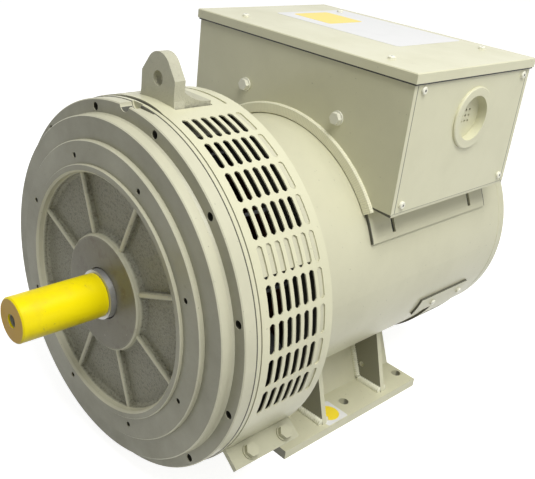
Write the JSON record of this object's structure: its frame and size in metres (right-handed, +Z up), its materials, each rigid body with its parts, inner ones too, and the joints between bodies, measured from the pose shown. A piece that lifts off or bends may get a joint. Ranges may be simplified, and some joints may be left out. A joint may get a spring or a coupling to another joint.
{
  "type": "generator alternator",
  "caption": "Two-bearing AC generator alternator with ribbed housing flange, louvred fan band, lifting lug, feet, terminal box and a capped drive shaft",
  "frame": {"origin": "centre of the six-hole foot pattern, on the plane the feet stand on; the shaft line is 280 mm above it", "axes": "+Z up, -Y towards the engine (drive end, the shaft's free end), +Y towards the non-drive end, +X to the right seen from behind the engine flange"},
  "size_m": [0.557, 0.8881, 0.6344],
  "materials": {
    "machine_paint": "satin",
    "cast_paint": "matte",
    "sheet_paint": "satin",
    "edge_trim": "matte",
    "sleeve_yellow": "satin",
    "bare_steel": "machined",
    "bearing_steel": "polished",
    "core_steel": "matte",
    "copper_winding": "varnished",
    "fan_aluminium": "matte",
    "zinc_bolts": "satin",
    "board_black": "matte",
    "stud_brass": "satin"
  },
  "bodies": {
    "housing": {"de_endframe": "cast_paint", "spacer_ring": "machine_paint", "fan_housing": "cast_paint", "lifting_lug": "cast_paint", "air_screen": "sheet_paint", "screen_lower": "sheet_paint", "screen_bolts": "zinc_bolts", "stator_frame": "machine_paint", "foot_right": "machine_paint", "foot_left": "machine_paint", "stator_core": "core_steel", "stator_winding": "copper_winding", "nde_bracket": "cast_paint", "nde_cover": "sheet_paint", "nde_screws": "zinc_bolts", "inlet_guard": "sheet_paint", "guard_screws": "zinc_bolts", "box_front": "sheet_paint", "box_rear": "sheet_paint", "box_side_right": "sheet_paint", "box_side_left": "sheet_paint", "box_lid": "sheet_paint", "box_saddle": "machine_paint", "trim_front": "edge_trim", "trim_rear": "edge_trim", "box_bolts": "zinc_bolts", "side_screws": "zinc_bolts", "lid_screws": "zinc_bolts", "entry_plug": "sheet_paint", "terminal_board": "board_black", "terminal_studs": "stud_brass", "voltage_regulator": "board_black", "de_bearing_outer": "bearing_steel", "nde_bearing_outer": "bearing_steel", "de_bearing_cap": "cast_paint", "nde_bearing_cap": "cast_paint", "exciter_stator": "core_steel", "exciter_coils": "copper_winding"},
    "rotor": {"shaft": "bare_steel", "slinger": "bare_steel", "de_bearing_inner": "bearing_steel", "nde_bearing_inner": "bearing_steel", "fan": "fan_aluminium", "rotor_core": "core_steel", "rotor_coils": "copper_winding", "exciter_rotor": "copper_winding", "rectifier_plate": "fan_aluminium", "diodes": "bare_steel"},
    "de_cage": {"de_bearing_cage": "bearing_steel"},
    "nde_cage": {"nde_bearing_cage": "bearing_steel"},
    "sleeve": {"shaft_sleeve": "sleeve_yellow"}
  },
  "joints": [
    {"name": "rotor_spin", "type": "hinge", "parent": "housing", "child": "rotor", "pos_m": [0, -0.374, 0.28], "axis": [0, 1, 0], "continuous": true},
    {"name": "de_cage_spin", "type": "hinge", "parent": "housing", "child": "de_cage", "pos_m": [0, -0.3655, 0.28], "axis": [0, 1, 0], "continuous": true},
    {"name": "nde_cage_spin", "type": "hinge", "parent": "housing", "child": "nde_cage", "pos_m": [0, 0.3185, 0.28], "axis": [0, 1, 0], "continuous": true},
    {"name": "sleeve_slide", "type": "slide", "parent": "rotor", "child": "sleeve", "axis": [0, -1, 0], "range_m": [0, 0.15]}
  ],
  "couplings": [
    {"joint": "de_cage_spin", "follows": "rotor_spin", "ratio": 0.3869},
    {"joint": "nde_cage_spin", "follows": "rotor_spin", "ratio": 0.3841}
  ]
}
